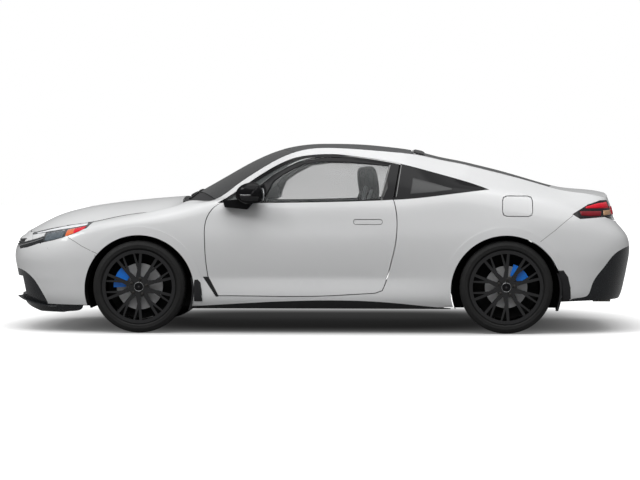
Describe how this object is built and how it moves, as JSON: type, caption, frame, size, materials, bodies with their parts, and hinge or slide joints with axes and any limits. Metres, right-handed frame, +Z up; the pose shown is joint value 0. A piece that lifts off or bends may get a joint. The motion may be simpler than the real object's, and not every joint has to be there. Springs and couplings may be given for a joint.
{
  "type": "two-door coupe car",
  "caption": "Low two-door hatchback coupe with opening doors, hood and tailgate, steered front wheels and four turning wheels.",
  "frame": {"origin": "on the ground under the middle of the car's overall box", "axes": "+X towards the tail, +Y towards the car's right side, +Z up"},
  "size_m": [4.5203, 2.06, 1.3559],
  "materials": {
    "body_paint": "pearl white clear coat",
    "gloss_black": "gloss black",
    "black_plastic": "grained matte black",
    "glass": "tinted glass",
    "lamp_clear": "clear lens over dark housing",
    "lamp_red": "red lens",
    "tyre_rubber": "matte rubber",
    "wheel_black": "gloss black paint",
    "brake_steel": "turned steel",
    "brake_blue": "bright blue paint",
    "chassis": "dark underbody paint",
    "axle_iron": "cast",
    "exhaust_steel": "satin steel",
    "seat_fabric": "dark upholstery",
    "cabin_trim": "soft touch",
    "engine_metal": "plain block"
  },
  "bodies": {
    "root": {"body_side_left": "body_paint", "body_side_right": "body_paint", "front_fender_left": "body_paint", "front_fender_right": "body_paint", "front_bumper": "body_paint", "front_lower_intake": "black_plastic", "headlamps": "lamp_clear", "windshield": "glass", "roof_panel": "gloss_black", "cowl_panel": "black_plastic", "rear_bumper": "body_paint", "rear_diffuser": "black_plastic", "tail_lamps": "lamp_red", "quarter_windows": "gloss_black", "side_skirts": "black_plastic", "mud_flaps": "black_plastic", "fender_vents": "black_plastic", "wheel_liners": "black_plastic", "floor_pan": "chassis", "seats": "seat_fabric", "dashboard": "cabin_trim", "front_suspension": "axle_iron", "rear_suspension": "axle_iron", "exhaust": "exhaust_steel", "rear_calipers": "brake_blue", "engine_block": "engine_metal"},
    "door_left": {"door_left": "body_paint", "door_glass_left": "glass", "door_frame_left": "gloss_black"},
    "knuckle_left": {"front_knuckle_left": "axle_iron", "front_caliper_left": "brake_blue"},
    "door_right": {"door_right": "body_paint", "door_glass_right": "glass", "door_frame_right": "gloss_black"},
    "knuckle_right": {"front_knuckle_right": "axle_iron", "front_caliper_right": "brake_blue"},
    "hood": {"hood": "body_paint"},
    "tailgate": {"tailgate": "body_paint", "tailgate_glass": "glass", "tailgate_lamp_bar": "lamp_red"},
    "fuel_flap": {"fuel_flap": "body_paint"},
    "wheel_front_left": {"tyre_front_left": "tyre_rubber", "rim_front_left": "wheel_black", "disc_front_left": "brake_steel"},
    "wheel_front_right": {"tyre_front_right": "tyre_rubber", "rim_front_right": "wheel_black", "disc_front_right": "brake_steel"},
    "wheel_rear_left": {"tyre_rear_left": "tyre_rubber", "rim_rear_left": "wheel_black", "disc_rear_left": "brake_steel"},
    "wheel_rear_right": {"tyre_rear_right": "tyre_rubber", "rim_rear_right": "wheel_black", "disc_rear_right": "brake_steel"}
  },
  "joints": [
    {"name": "steer_left", "type": "hinge", "parent": "root", "child": "knuckle_left", "pos_m": [-1.2535, -0.79, 0.331], "axis": [0, 0, 1], "range_deg": [-33, 33]},
    {"name": "steer_right", "type": "hinge", "parent": "root", "child": "knuckle_right", "pos_m": [-1.2535, 0.79, 0.331], "axis": [0, 0, 1], "range_deg": [-33, 33]},
    {"name": "wheel_front_left_spin", "type": "hinge", "parent": "knuckle_left", "child": "wheel_front_left", "pos_m": [-1.2535, -0.812, 0.331], "axis": [0, 1, 0], "continuous": true},
    {"name": "wheel_front_right_spin", "type": "hinge", "parent": "knuckle_right", "child": "wheel_front_right", "pos_m": [-1.2535, 0.812, 0.331], "axis": [0, 1, 0], "continuous": true},
    {"name": "wheel_rear_left_spin", "type": "hinge", "parent": "root", "child": "wheel_rear_left", "pos_m": [1.3515, -0.807, 0.331], "axis": [0, 1, 0], "continuous": true},
    {"name": "wheel_rear_right_spin", "type": "hinge", "parent": "root", "child": "wheel_rear_right", "pos_m": [1.3515, 0.807, 0.331], "axis": [0, 1, 0], "continuous": true},
    {"name": "door_left_hinge", "type": "hinge", "parent": "root", "child": "door_left", "pos_m": [-0.735, -0.897, 0.6], "axis": [0, 0, -1], "range_deg": [0, 65]},
    {"name": "door_right_hinge", "type": "hinge", "parent": "root", "child": "door_right", "pos_m": [-0.735, 0.897, 0.6], "axis": [0, 0, 1], "range_deg": [0, 65]},
    {"name": "hood_hinge", "type": "hinge", "parent": "root", "child": "hood", "pos_m": [-0.96, 0, 0.968], "axis": [0, 1, 0], "range_deg": [0, 50]},
    {"name": "tailgate_hinge", "type": "hinge", "parent": "root", "child": "tailgate", "pos_m": [0.685, 0, 1.306], "axis": [0, -1, 0], "range_deg": [0, 70]},
    {"name": "fuel_flap_hinge", "type": "hinge", "parent": "root", "child": "fuel_flap", "pos_m": [1.327, -0.896, 0.9], "axis": [0, -0.3461, -0.9382], "range_deg": [0, 80]}
  ],
  "couplings": [
    {"joint": "steer_right", "follows": "steer_left", "ratio": 1}
  ]
}
